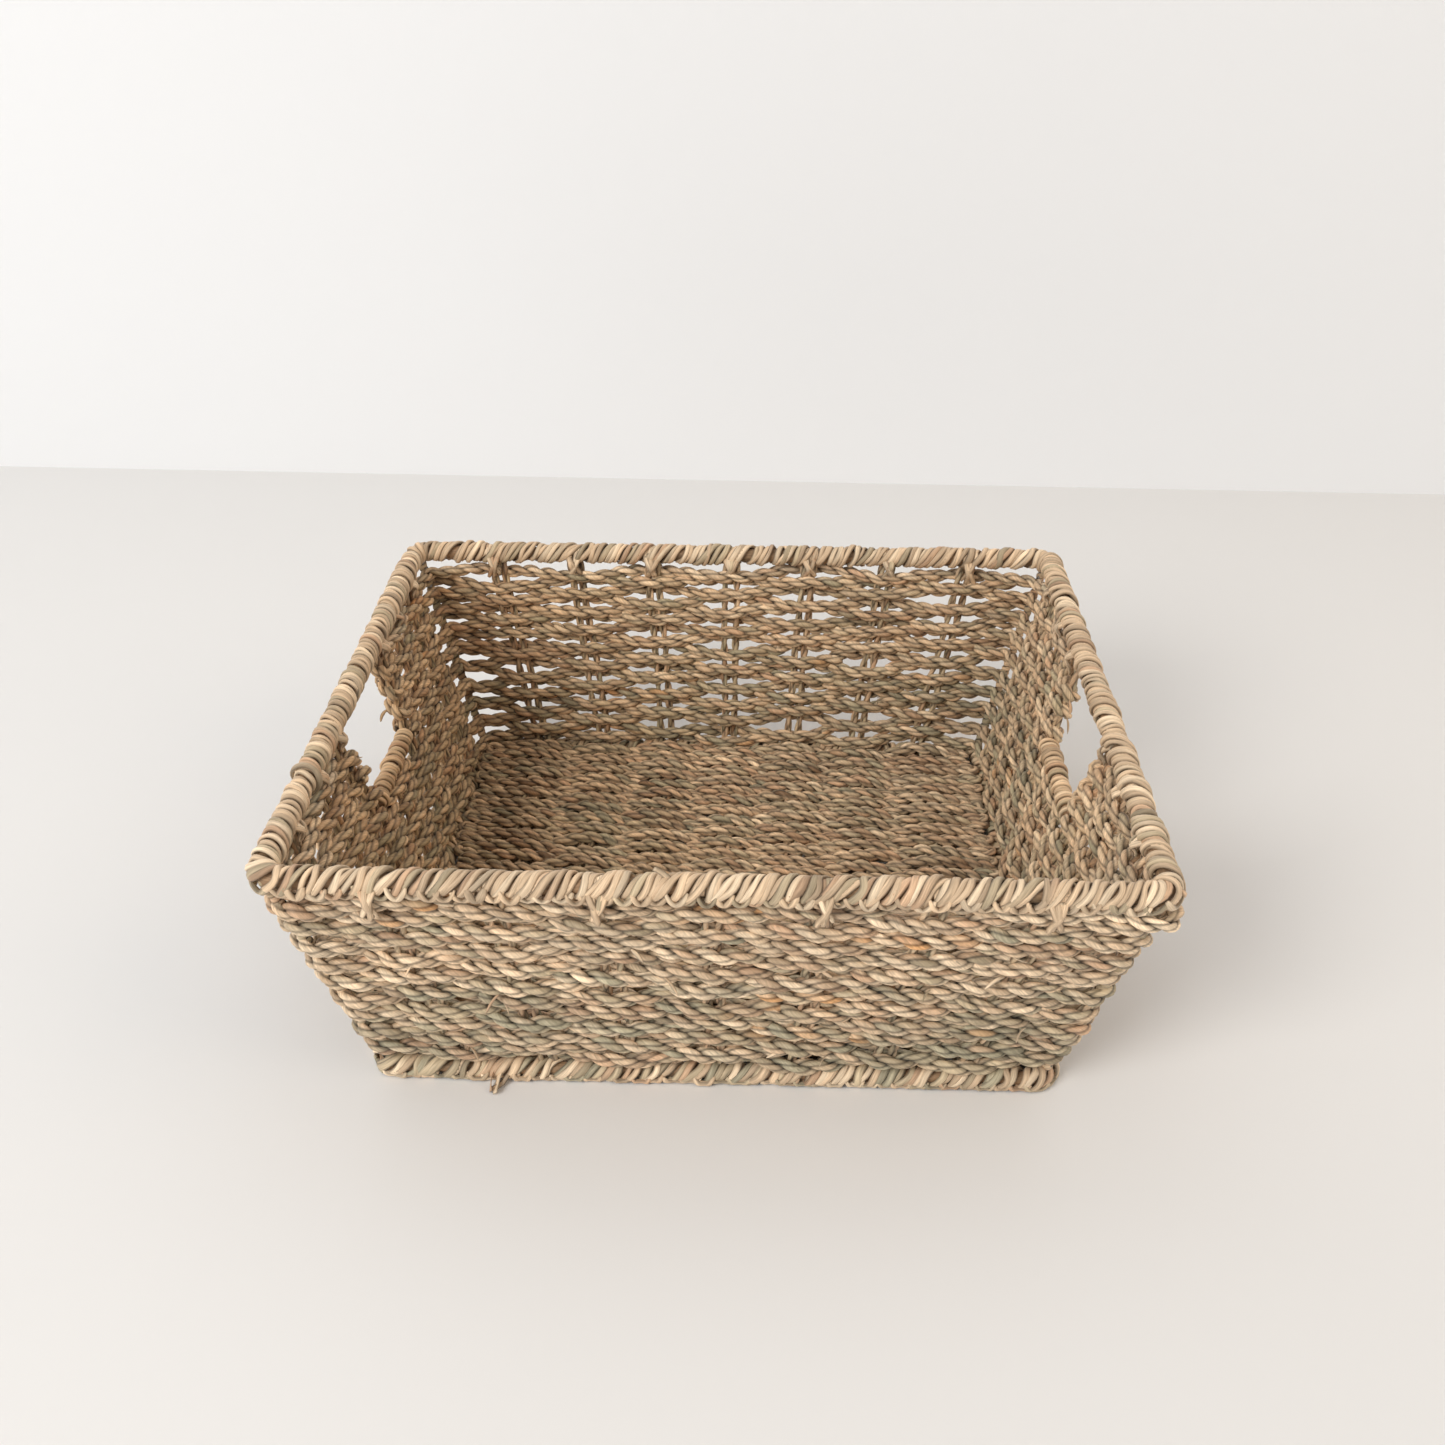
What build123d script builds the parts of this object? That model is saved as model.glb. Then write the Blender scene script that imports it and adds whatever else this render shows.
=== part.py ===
from build123d import *
import os

# A rectangular tray basket of twisted seagrass rope, woven on a frame of steel wire.
# Nineteen courses of rope run in and out round pairs of thin upright cords (the stakes).
# The floor is woven the same way on the cords of the long walls, which pass under it.
# The rim and the foot are steel wire wound with seagrass. Each short wall has a hand
# hole under the rim, closed below by a short wound bar.
# X runs along the long walls, Y from front to back, Z up from the surface it stands on.

# Overall size, to the centre of the rim and foot wires (mm)
HEIGHT = 120.0
TOP_HALF_LENGTH = 168.0
TOP_HALF_WIDTH = 141.0
BASE_HALF_LENGTH = 139.5
BASE_HALF_WIDTH = 123.5
CORNER_RADIUS = 8.0

# Rim and foot
WIRE_RADIUS = 1.5
TOP_WRAP_RADIUS = 5.0
BASE_WRAP_RADIUS = 4.3
FOOT_FLATTENING = 0.2
BORE_CLEARANCE = 0.05
TOP_WIRE_Z = HEIGHT - TOP_WRAP_RADIUS
BASE_WIRE_Z = BASE_WRAP_RADIUS - FOOT_FLATTENING
CORNER_WIRE_RADIUS = 1.1

# Rope, cords and weave
WALL_ROPE_RADIUS = 2.5
FLOOR_ROPE_RADIUS = 2.1
CORD_RADIUS = 1.1
CORD_SPACING = 5.6
WEAVE_CLEARANCE = 0.1
WALL_WEAVE_OFFSET = WALL_ROPE_RADIUS + CORD_RADIUS + WEAVE_CLEARANCE
FLOOR_WEAVE_OFFSET = FLOOR_ROPE_RADIUS + CORD_RADIUS + WEAVE_CLEARANCE
WALL_INSET = 2.5
STAKES_PER_WALL = 7
CORD_END_GAP = 0.2

# Courses of the walls
COURSE_COUNT = 19
FIRST_COURSE_Z = 12.0
COURSE_PITCH = 5.2
WHOLE_COURSES = 11
ROPE_END_BESIDE_BAR = 3.4
LONGEST_ROPE_END = 8.0
ROPE_END_STEP = 0.75

# Floor
FLOOR_Z = 7.4
FLOOR_ROWS = 51
FLOOR_EDGE_GAP = 8.5
ROWS_PER_STRAND = 7
WARP_BEND_RADIUS = 6.0

# Hand holes
HANDLE_Z = 70.0
HANDLE_WIRE_RADIUS = 1.2
HANDLE_WRAP_RADIUS = 2.9
HANDLE_END_GAP = 0.1

os.makedirs("parts", exist_ok=True)


def save(part, name):
    """Label one sub-part and write its file."""
    part.label = name
    export_step(part, f"parts/{name}.step")


# The middle surface of the walls, which flare evenly from foot to rim.


def wall_half_length(z):
    rise = (z - BASE_WIRE_Z) / (TOP_WIRE_Z - BASE_WIRE_Z)
    foot = BASE_HALF_LENGTH - WALL_INSET
    return foot + (TOP_HALF_LENGTH - foot) * rise


def wall_half_width(z):
    rise = (z - BASE_WIRE_Z) / (TOP_WIRE_Z - BASE_WIRE_Z)
    foot = BASE_HALF_WIDTH - WALL_INSET
    return foot + (TOP_HALF_WIDTH - foot) * rise


def stake_share(index):
    """Place of a stake along its wall, from -1 at one corner to +1 at the other."""
    return 2 * (index + 1) / (STAKES_PER_WALL + 1) - 1


# Wire rings and the seagrass wound round them


def ring_tube(half_length, half_width, z, radius):
    """A closed tube on a rectangle with rounded corners."""
    with BuildPart() as tube:
        with BuildLine(Plane.XY.offset(z)) as path:
            FilletPolyline(
                (-half_length, -half_width),
                (half_length, -half_width),
                (half_length, half_width),
                (-half_length, half_width),
                radius=CORNER_RADIUS,
                close=True,
            )
        start = path.wire() @ 0
        with BuildSketch(Plane(origin=start, z_dir=path.wire() % 0)):
            Circle(radius)
        sweep()
    return tube.part


def rim_wire(half_length, half_width, z, name):
    wire = ring_tube(half_length, half_width, z, WIRE_RADIUS)
    save(wire, name)
    return wire


def rim_wrap(half_length, half_width, z, radius, buried, name):
    """The winding round a rim wire, with pockets for the cord and wire ends it binds."""
    outside = ring_tube(half_length, half_width, z, radius)
    bore = ring_tube(half_length, half_width, z, WIRE_RADIUS + BORE_CLEARANCE)
    with BuildPart() as wrap:
        add(outside)
        add(bore, mode=Mode.SUBTRACT)
        for piece in buried:
            add(piece, mode=Mode.SUBTRACT)
        split(bisect_by=Plane.XY, keep=Keep.TOP)
    save(wrap.part, name)


def corner_wire(x_side, y_side, rims, name):
    """An upright steel wire welded to the rim and foot wires at one corner."""
    corner_set_back = CORNER_RADIUS * (1 - 0.5**0.5)
    foot = (
        x_side * (BASE_HALF_LENGTH - corner_set_back),
        y_side * (BASE_HALF_WIDTH - corner_set_back),
        BASE_WIRE_Z,
    )
    top = (
        x_side * (TOP_HALF_LENGTH - corner_set_back),
        y_side * (TOP_HALF_WIDTH - corner_set_back),
        TOP_WIRE_Z,
    )
    with BuildPart() as wire:
        with BuildLine() as path:
            Line(foot, top)
        with BuildSketch(Plane(origin=foot, z_dir=path.wire() % 0)):
            Circle(CORNER_WIRE_RADIUS)
        sweep()
        for rim in rims:
            add(rim, mode=Mode.SUBTRACT)
    save(wire.part, name)
    return wire.part


# Cords: the long warps under the floor and up both long walls, and the short-wall stakes


def cord_pair(points, shift, bend_radius=None):
    """Two parallel cords on one route, set apart along shift."""
    with BuildPart() as pair:
        for side in (-0.5, 0.5):
            route = [Vector(*point) + shift * (side * CORD_SPACING) for point in points]
            with BuildLine() as path:
                if bend_radius:
                    FilletPolyline(*route, radius=bend_radius)
                else:
                    Polyline(*route)
            with BuildSketch(Plane(origin=route[0], z_dir=path.wire() % 0)):
                Circle(CORD_RADIUS)
            sweep()
    return pair.part


def warp(index):
    """A pair of cords from the front rim, under the floor weave, to the back rim."""
    share = stake_share(index)
    top_z = TOP_WIRE_Z - WIRE_RADIUS - CORD_END_GAP
    route = [
        (share * wall_half_length(top_z), -wall_half_width(top_z), top_z),
        (share * wall_half_length(FLOOR_Z), -wall_half_width(FLOOR_Z), FLOOR_Z),
        (share * wall_half_length(FLOOR_Z), wall_half_width(FLOOR_Z), FLOOR_Z),
        (share * wall_half_length(top_z), wall_half_width(top_z), top_z),
    ]
    pair = cord_pair(route, Vector(1, 0, 0), WARP_BEND_RADIUS)
    save(pair, f"warp_{index + 1}")
    return pair


def side_stake(x_side, index, wall_name):
    """A pair of cords in a short wall. The middle one stops at the bar of the hand hole."""
    share = stake_share(index)
    foot_z = BASE_WIRE_Z + WIRE_RADIUS + CORD_RADIUS - CORD_END_GAP
    top_z = TOP_WIRE_Z - WIRE_RADIUS - CORD_END_GAP
    if share == 0:
        top_z = HANDLE_Z - HANDLE_WRAP_RADIUS - HANDLE_END_GAP
    route = [
        (x_side * wall_half_length(foot_z), share * wall_half_width(foot_z), foot_z),
        (x_side * wall_half_length(top_z), share * wall_half_width(top_z), top_z),
    ]
    pair = cord_pair(route, Vector(0, 1, 0))
    save(pair, f"{wall_name}_stake_{index + 1}")
    return pair


# Woven rope


def s_curve(start, end, heading):
    """Two equal arcs that leave start and reach end along heading."""
    middle = (start + end) * 0.5
    chord = (middle - start).normalized()
    heading_at_middle = chord * (2 * heading.dot(chord)) - heading
    TangentArc(start, middle, tangent=heading)
    TangentArc(middle, end, tangent=heading_at_middle)


def rope_on(centre_line, radius):
    """The rope as a round solid that follows its centre line."""
    with BuildPart() as rope:
        with BuildSketch(Plane(origin=centre_line @ 0, z_dir=centre_line % 0)):
            Circle(radius)
        sweep(path=centre_line)
    return rope.part


def course_stations(z, first_side):
    """Where a course passes each stake and rounds each corner, in order round the basket.

    The list starts in the middle of the left wall and goes to the front. Each entry is a
    point outside or inside the stake, and the direction of travel there. A corner has
    two entries, where its bend starts and ends, on the same side of the corner wire.
    """
    x = wall_half_length(z)
    y = wall_half_width(z)
    walls = [
        (Vector(-x, y, z), Vector(0, -1, 0), 2 * y),
        (Vector(-x, -y, z), Vector(1, 0, 0), 2 * x),
        (Vector(x, -y, z), Vector(0, 1, 0), 2 * y),
        (Vector(x, y, z), Vector(-1, 0, 0), 2 * x),
    ]
    side = first_side
    stations = []
    for corner, heading, length in walls:
        outward = Vector(heading.Y, -heading.X, 0)
        stations.append((corner + heading * CORNER_RADIUS + outward * (side * WALL_WEAVE_OFFSET), heading))
        for index in range(STAKES_PER_WALL):
            side = -side
            along = length * (index + 1) / (STAKES_PER_WALL + 1)
            stations.append((corner + heading * along + outward * (side * WALL_WEAVE_OFFSET), heading))
        side = -side
        along = length - CORNER_RADIUS
        stations.append((corner + heading * along + outward * (side * WALL_WEAVE_OFFSET), heading))
    middle = 1 + STAKES_PER_WALL // 2
    return stations[middle:] + stations[:middle]


def weave_through(stations):
    """Draw the rope's centre line through a run of stations."""
    for (start, heading), (end, next_heading) in zip(stations, stations[1:]):
        if heading.dot(next_heading) > 0.5:
            s_curve(start, end, heading)
        else:
            TangentArc(start, end, tangent=heading)


def whole_course(index, name):
    z = FIRST_COURSE_Z + index * COURSE_PITCH
    stations = course_stations(z, 1 if index % 2 else -1)
    with BuildLine() as path:
        weave_through(stations + stations[:1])
    save(rope_on(path.wire(), WALL_ROPE_RADIUS), name)


def rope_end_length(index):
    """How far the cut ends of a course run past the stakes beside a hand hole."""
    if index == WHOLE_COURSES:
        return ROPE_END_BESIDE_BAR
    return LONGEST_ROPE_END - ROPE_END_STEP * (index - WHOLE_COURSES)


def part_course(index, name):
    """A course that the hand holes interrupt: a front and a back half, each with its own ends."""
    z = FIRST_COURSE_Z + index * COURSE_PITCH
    stations = course_stations(z, 1 if index % 2 else -1)
    opposite = len(stations) // 2
    end_length = rope_end_length(index)
    with BuildPart() as course:
        for run in (stations[1:opposite], stations[opposite + 1 :]):
            first_point, first_heading = run[0]
            last_point, last_heading = run[-1]
            with BuildLine() as path:
                Line(first_point - first_heading * end_length, first_point)
                weave_through(run)
                Line(last_point, last_point + last_heading * end_length)
            add(rope_on(path.wire(), WALL_ROPE_RADIUS))
    save(course.part, name)


def floor_strand(first_row, row_count, name):
    """Rope that weaves to and fro over and under the warps for a few rows of the floor."""
    last_y = BASE_HALF_WIDTH - FLOOR_EDGE_GAP
    pitch = 2 * last_y / (FLOOR_ROWS - 1)
    end_x = BASE_HALF_LENGTH - FLOOR_EDGE_GAP - pitch / 2
    warp_x = [stake_share(index) * wall_half_length(FLOOR_Z) for index in range(STAKES_PER_WALL)]
    with BuildLine() as path:
        for row in range(first_row, first_row + row_count):
            y = -last_y + row * pitch
            way = 1 if row % 2 == 0 else -1
            heading = Vector(way, 0, 0)
            previous = Vector(-way * end_x, y, FLOOR_Z)
            for index in range(STAKES_PER_WALL):
                above = -1 if (index + row) % 2 else 1
                point = Vector(way * warp_x[index], y, FLOOR_Z + above * FLOOR_WEAVE_OFFSET)
                s_curve(previous, point, heading)
                previous = point
            row_end = Vector(way * end_x, y, FLOOR_Z)
            s_curve(previous, row_end, heading)
            if row < first_row + row_count - 1:
                TangentArc(row_end, row_end + Vector(0, pitch, 0), tangent=heading)
    save(rope_on(path.wire(), FLOOR_ROPE_RADIUS), name)


# Hand holes


def handle_bar(x_side, side_name):
    """A short wound wire between two stakes, the lower edge of a hand hole."""
    x = x_side * wall_half_length(HANDLE_Z)
    stake_y = stake_share(STAKES_PER_WALL // 2 + 1) * wall_half_width(HANDLE_Z)
    half_length = stake_y - CORD_SPACING / 2 - CORD_RADIUS - HANDLE_END_GAP
    end_plane = Plane(origin=(x, -half_length, HANDLE_Z), z_dir=(0, 1, 0))
    with BuildPart() as wire:
        with BuildSketch(end_plane):
            Circle(HANDLE_WIRE_RADIUS)
        extrude(amount=2 * half_length)
    save(wire.part, f"{side_name}_handle_wire")
    with BuildPart() as wrap:
        with BuildSketch(end_plane):
            Circle(HANDLE_WRAP_RADIUS)
            Circle(HANDLE_WIRE_RADIUS + BORE_CLEARANCE, mode=Mode.SUBTRACT)
        extrude(amount=2 * half_length)
    save(wrap.part, f"{side_name}_handle_wrap")


top_rim_wire = rim_wire(TOP_HALF_LENGTH, TOP_HALF_WIDTH, TOP_WIRE_Z, "top_rim_wire")
base_rim_wire = rim_wire(BASE_HALF_LENGTH, BASE_HALF_WIDTH, BASE_WIRE_Z, "base_rim_wire")

bound_pieces = []
for x_sign, x_name in ((-1, "left"), (1, "right")):
    for y_sign, y_name in ((-1, "front"), (1, "back")):
        wire_name = f"{y_name}_{x_name}_corner_wire"
        bound_pieces.append(corner_wire(x_sign, y_sign, [top_rim_wire, base_rim_wire], wire_name))
    for stake in range(STAKES_PER_WALL):
        bound_pieces.append(side_stake(x_sign, stake, x_name))
    handle_bar(x_sign, x_name)
for stake in range(STAKES_PER_WALL):
    bound_pieces.append(warp(stake))

rim_wrap(TOP_HALF_LENGTH, TOP_HALF_WIDTH, TOP_WIRE_Z, TOP_WRAP_RADIUS, bound_pieces, "top_rim_wrap")
rim_wrap(BASE_HALF_LENGTH, BASE_HALF_WIDTH, BASE_WIRE_Z, BASE_WRAP_RADIUS, bound_pieces, "base_rim_wrap")

for course_index in range(COURSE_COUNT):
    course_name = f"wall_course_{course_index + 1:02d}"
    if course_index < WHOLE_COURSES:
        whole_course(course_index, course_name)
    else:
        part_course(course_index, course_name)

for strand_index, strand_start in enumerate(range(0, FLOOR_ROWS, ROWS_PER_STRAND)):
    rows = min(ROWS_PER_STRAND, FLOOR_ROWS - strand_start)
    floor_strand(strand_start, rows, f"floor_strand_{strand_index + 1:02d}")
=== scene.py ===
import math

import bpy
import numpy as np
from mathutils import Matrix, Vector


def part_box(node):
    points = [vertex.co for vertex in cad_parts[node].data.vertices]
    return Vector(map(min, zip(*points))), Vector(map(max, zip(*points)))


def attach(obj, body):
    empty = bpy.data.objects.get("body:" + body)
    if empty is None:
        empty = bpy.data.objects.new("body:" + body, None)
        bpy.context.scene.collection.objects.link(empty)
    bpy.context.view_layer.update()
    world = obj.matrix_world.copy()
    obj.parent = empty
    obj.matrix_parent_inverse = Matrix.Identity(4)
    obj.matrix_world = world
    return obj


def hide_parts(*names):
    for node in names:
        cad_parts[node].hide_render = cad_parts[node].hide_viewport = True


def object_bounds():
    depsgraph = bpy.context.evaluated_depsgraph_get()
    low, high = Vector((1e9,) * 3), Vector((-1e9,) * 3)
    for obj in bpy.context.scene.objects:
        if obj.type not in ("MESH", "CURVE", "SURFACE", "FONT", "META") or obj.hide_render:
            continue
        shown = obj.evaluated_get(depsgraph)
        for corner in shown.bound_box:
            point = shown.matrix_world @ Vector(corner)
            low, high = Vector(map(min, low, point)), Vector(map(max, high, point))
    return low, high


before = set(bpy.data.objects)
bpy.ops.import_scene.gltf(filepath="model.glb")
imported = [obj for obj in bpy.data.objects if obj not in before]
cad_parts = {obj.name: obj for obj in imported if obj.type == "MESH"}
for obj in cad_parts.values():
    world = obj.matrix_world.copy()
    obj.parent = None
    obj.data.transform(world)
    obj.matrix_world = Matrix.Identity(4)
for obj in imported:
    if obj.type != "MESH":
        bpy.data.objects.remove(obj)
cad_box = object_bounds()

# A tray basket of two-ply seagrass rope. The CAD frame gives every place and size below.
# Lengths are in metres. Each strand is a swept tube whose points carry two attributes:
# the tint, the colour of its leaf blades with painted shade multiplied in, and "fibre", coordinates that
# run along them.

MM = 0.001

# ---------------------------------------------------------------- sizes from the frame


def ring_of(node):
    """Half length, half width, height and wire radius of a rim wire."""
    low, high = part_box(node)
    radius = (high.z - low.z) / 2
    return high.x - radius, high.y - radius, (high.z + low.z) / 2, radius


TOP_X, TOP_Y, TOP_Z, WIRE_RADIUS = ring_of("top_rim_wire")
BASE_X, BASE_Y, BASE_Z, _ = ring_of("base_rim_wire")
TOP_WRAP_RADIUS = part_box("top_rim_wrap")[1].x - TOP_X
BASE_WRAP_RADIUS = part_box("base_rim_wrap")[1].x - BASE_X
CORNER_RADIUS = 8 * MM

WARP_LOW, WARP_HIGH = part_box("warp_4")
STAKE_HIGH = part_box("left_stake_1")[1]
BAR_LOW, BAR_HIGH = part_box("left_handle_wrap")
COURSE_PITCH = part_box("wall_course_02")[0].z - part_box("wall_course_01")[0].z
STAKES = 7
COURSES = sum(node.startswith("wall_course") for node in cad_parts)
WHOLE_COURSES = 11
FLOOR_STRANDS = sum(node.startswith("floor_strand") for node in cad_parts)
FLOOR_ROWS = 51
ROWS_PER_STRAND = 7

CORD_RADIUS = 1.1 * MM
CORD_SPACING = (WARP_HIGH.x - WARP_LOW.x) - 2 * CORD_RADIUS
FLOOR_Z = WARP_LOW.z + CORD_RADIUS
FLOOR_ROPE_RADIUS = 2.1 * MM
WALL_INSET = BASE_X - abs(STAKE_HIGH.x) - CORD_RADIUS
BAR_Z = (BAR_LOW.z + BAR_HIGH.z) / 2

# ------------------------------------------------------------------- sizes of the look

WEAVE_OFFSET = 3.1 * MM
FLOOR_WEAVE_OFFSET = 3.1 * MM
BLADE_WIDTH = 3.1 * MM
BLADE_THICKNESS = 1.9 * MM
WRAP_PITCH = 6 * MM
FOOT_PITCH = 6.8 * MM
SIDE_LEAN = 12 * MM
LONG_WALL_LEAN = 5 * MM
BINDING_PITCH = 3.2 * MM
BINDING_RADIUS = 1.9 * MM
BAR_PITCH = 5 * MM
BAR_LEAN = 3 * MM
BAR_WINDING_RADIUS = 3.7 * MM
WRAP_STEPS = 22
FOOT_CLEARANCE = 1.75 * MM
PLY_TWIST = -520
# Darkening by colour channel inside the basket and more at the back left: partly browner seagrass, partly
# painted shade.
INSIDE_AGE_AND_SHADE = (0.05, 0.10, 0.17)
LEFT_AGE_AND_SHADE = (0.16, 0.22, 0.30)
CUT_ENDS_X = (-91 * MM, -88 * MM, -84 * MM)
STUBS = 30
HOLE_WISPS = 4


class Lay:
    """How a rope is made: its plies, its pitch of twist and how finely it is drawn."""

    def __init__(self, ply_radius, ply_offset, lay, step, blades, corners):
        """Lengths in millimetres; a ply has so many blades, drawn with so many corners."""
        self.ply_radius = ply_radius * MM
        self.ply_offset = ply_offset * MM
        self.lay = lay * MM
        self.step = step * MM
        self.blades = blades
        self.corners = corners


WALL_ROPE = Lay(1.95, 1.5, 20, 1.5, 3, 12)
FLOOR_ROPE = Lay(1.8, 1.4, 15, 1.7, 3, 9)
CORD = Lay(1.3, 0.8, 19, 2.2, 2, 8)

# Colours of dried seagrass, linear
PALE = (0.90, 0.70, 0.48)
STRAW = (0.76, 0.555, 0.36)
KHAKI = (0.57, 0.45, 0.29)
GREEN = (0.47, 0.41, 0.275)
TAN = (0.64, 0.42, 0.26)
BROWN = (0.36, 0.22, 0.12)
ORANGE = (0.66, 0.36, 0.16)
# UMBER colours only the cores, as painted shade between wraps.
UMBER = (0.20, 0.13, 0.07)

RIM_TONES = ((PALE, 3), (STRAW, 7), (KHAKI, 1.5), (TAN, 0.8))
FOOT_TONES = ((PALE, 2), (STRAW, 4), (KHAKI, 3), (GREEN, 2), (TAN, 1))
HIGH_TONES = ((PALE, 4), (STRAW, 5), (KHAKI, 1.5), (GREEN, 0.5), (TAN, 1.5), (ORANGE, 0.15))
LOW_TONES = ((PALE, 2), (STRAW, 4), (KHAKI, 3), (GREEN, 2.5), (TAN, 1), (ORANGE, 0.2))
FLOOR_TONES = ((PALE, 1.4), (STRAW, 4), (KHAKI, 2.6), (GREEN, 1.5), (TAN, 2.2), (BROWN, 0.3))
CORD_TONES = ((STRAW, 2), (KHAKI, 3), (GREEN, 1), (TAN, 2), (BROWN, 0.6))
# Dark tones for the cores under the windings: painted shade in the gaps between wraps.
CORE_SHADE_TONES = ((BROWN, 2), (UMBER, 1))

# ------------------------------------------------------------------------- small maths


def unit(vectors):
    return vectors / np.maximum(np.linalg.norm(vectors, axis=-1, keepdims=True), 1e-9)


def square_to(vectors, heading):
    """The part of each vector that is square to the heading, as a unit vector."""
    return unit(vectors - heading * np.sum(vectors * heading, axis=-1, keepdims=True))


def distance_along(points):
    steps = np.linalg.norm(np.diff(points, axis=0), axis=1)
    return np.concatenate(([0.0], np.cumsum(steps)))


def resample(points, step, *others):
    """The same line with points an even step apart, and other values carried along."""
    along = distance_along(points)
    count = max(int(round(along[-1] / step)), 2) + 1
    places = np.linspace(0, along[-1], count)
    rows = []
    for values in (points, *others):
        rows.append(np.stack([np.interp(places, along, column) for column in values.T], axis=1))
    return rows


def drift(rng, along, step, spread, columns=1):
    """Smooth random values along a strand, with a new target every step."""
    place = (along - along[0]) / step + rng.random()
    knot = place.astype(int)
    share = (place - knot)[:, None]
    share = share * share * (3 - 2 * share)
    targets = rng.normal(0, spread, (knot[-1] + 2, columns))
    values = targets[knot] * (1 - share) + targets[knot + 1] * share
    return values[:, 0] if columns == 1 else values


def blade_colours(rng, along, blades, tones, change=55 * MM, kinship=0.35):
    """A colour for each blade of a strand at each point, changing where a blade ends.

    Kinship is how far the blades of one bundle share a tone.
    """
    colours = np.array([tone for tone, _ in tones])
    weights = np.array([weight for _, weight in tones], float)
    place = (along - along[0]) / change + rng.random()
    knot = place.astype(int)
    picks = rng.choice(len(colours), p=weights / weights.sum(), size=(knot[-1] + 2, blades))
    chosen = colours[picks] * rng.normal(1, 0.16, (*picks.shape, 1)).clip(0.6, 1.3)
    chosen = kinship * chosen[:, :1] + (1 - kinship) * chosen
    share = np.clip((place - knot - 0.35) / 0.3, 0, 1)[:, None, None]
    return chosen[knot] * (1 - share) + chosen[knot + 1] * share


def ageing_and_shade(points):
    """How much browner and darker the seagrass is at each point: inside, and most at the back left. This
    is partly the seagrass's own browning and partly painted shade.
    """
    depth = np.clip((points[..., 1:2] + 0.12) / 0.05, 0, 1)
    depth = depth * np.clip((TOP_Z - 6 * MM - points[..., 2:]) / (4 * MM), 0.25, 1)
    leftness = np.clip((0.02 - points[..., :1]) / 0.17, 0, 1)
    return (1 - depth * np.array(INSIDE_AGE_AND_SHADE)) * (1 - leftness * depth * np.array(LEFT_AGE_AND_SHADE))


# --------------------------------------------------------------------- swept strands


def strand(centre, up, section, colour, seed):
    """One swept tube. section is (points or 1, corners, 2), in the up and side directions."""
    heading = unit(np.gradient(centre, axis=0))
    up = square_to(up, heading)
    side = np.cross(heading, up)
    section = np.broadcast_to(section, (len(centre), *section.shape[1:]))
    points = centre[:, None] + section[..., :1] * up[:, None] + section[..., 1:] * side[:, None]
    fibre = np.empty(points.shape)
    fibre[..., :2] = section / (0.45 * MM)
    fibre[..., 2] = distance_along(centre)[:, None] / (6 * MM)
    fibre += seed
    # The tint takes the darkening inside and at the back left, which is partly painted shade.
    return {"points": points, "tint_and_shade": colour * ageing_and_shade(points), "fibre": fibre}


def end_taper(along, length, least):
    """A scale that falls towards both ends of a strand."""
    near_end = np.minimum(along, along[-1] - along)
    return least + (1 - least) * np.sqrt(np.clip(near_end / length, 0, 1))


def ply(rng, centre, radial, tones, make):
    """One ply of a rope: a round bundle of a few blades that twist together."""
    along = distance_along(centre)
    blades, corners = make.blades, make.corners
    per_blade = corners // blades
    profile = np.tile(1.07 - 0.30 * np.abs(np.linspace(-1, 1, per_blade + 1)[:-1]) ** 2, blades)
    bulge = np.repeat(drift(rng, along, 9 * MM, 0.07, blades), per_blade, axis=1)
    size = make.ply_radius * (1 + drift(rng, along, 14 * MM, 0.07)) * end_taper(along, 5 * MM, 0.45)
    reach = size[:, None] * (profile + bulge)
    twist = PLY_TWIST * along + rng.random() * 6
    angle = 2 * np.pi * np.arange(corners) / corners + twist[:, None]
    section = np.stack((reach * np.cos(angle) * 0.96, reach * np.sin(angle) * 1.06), axis=-1)
    colour = np.repeat(blade_colours(rng, along, blades, tones), per_blade, axis=1)
    # Painted shade: each blade is darker where it meets the next, and each ply is darker on the side that
    # faces the middle of the rope.
    groove_shade = 1 - 0.65 * (np.arange(corners) % per_blade == 0)
    hollow_shade = 1 - 0.92 * (np.clip(0.3 - np.cos(angle), 0, 1.3) / 1.3) ** 1.1
    colour = colour * (groove_shade * hollow_shade)[..., None]
    return strand(centre, radial, section, colour, rng.uniform(0, 400, 3))


def rope(rng, path, outward, tones, make):
    """A two-ply rope along a path, laid to the right."""
    path, outward = resample(path, make.step, outward)
    along = distance_along(path)
    heading = unit(np.gradient(path, axis=0))
    out = square_to(outward, heading)
    across = np.cross(heading, out)
    lay = make.lay * rng.normal(1, 0.05)
    turn = 2 * np.pi * along / lay + drift(rng, along, 24 * MM, 0.5) + rng.random() * 6
    plies = []
    for half_turn in (0, np.pi):
        angle = (turn + half_turn)[:, None]
        radial = np.cos(angle) * out + np.sin(angle) * across
        spread = make.ply_offset * (1 + drift(rng, along, 20 * MM, 0.08))
        centre = path + radial * spread[:, None]
        plies.append(ply(rng, centre, radial, tones, make))
    return plies


BLADE_ANGLES = 2 * np.pi * np.arange(6) / 6


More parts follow.
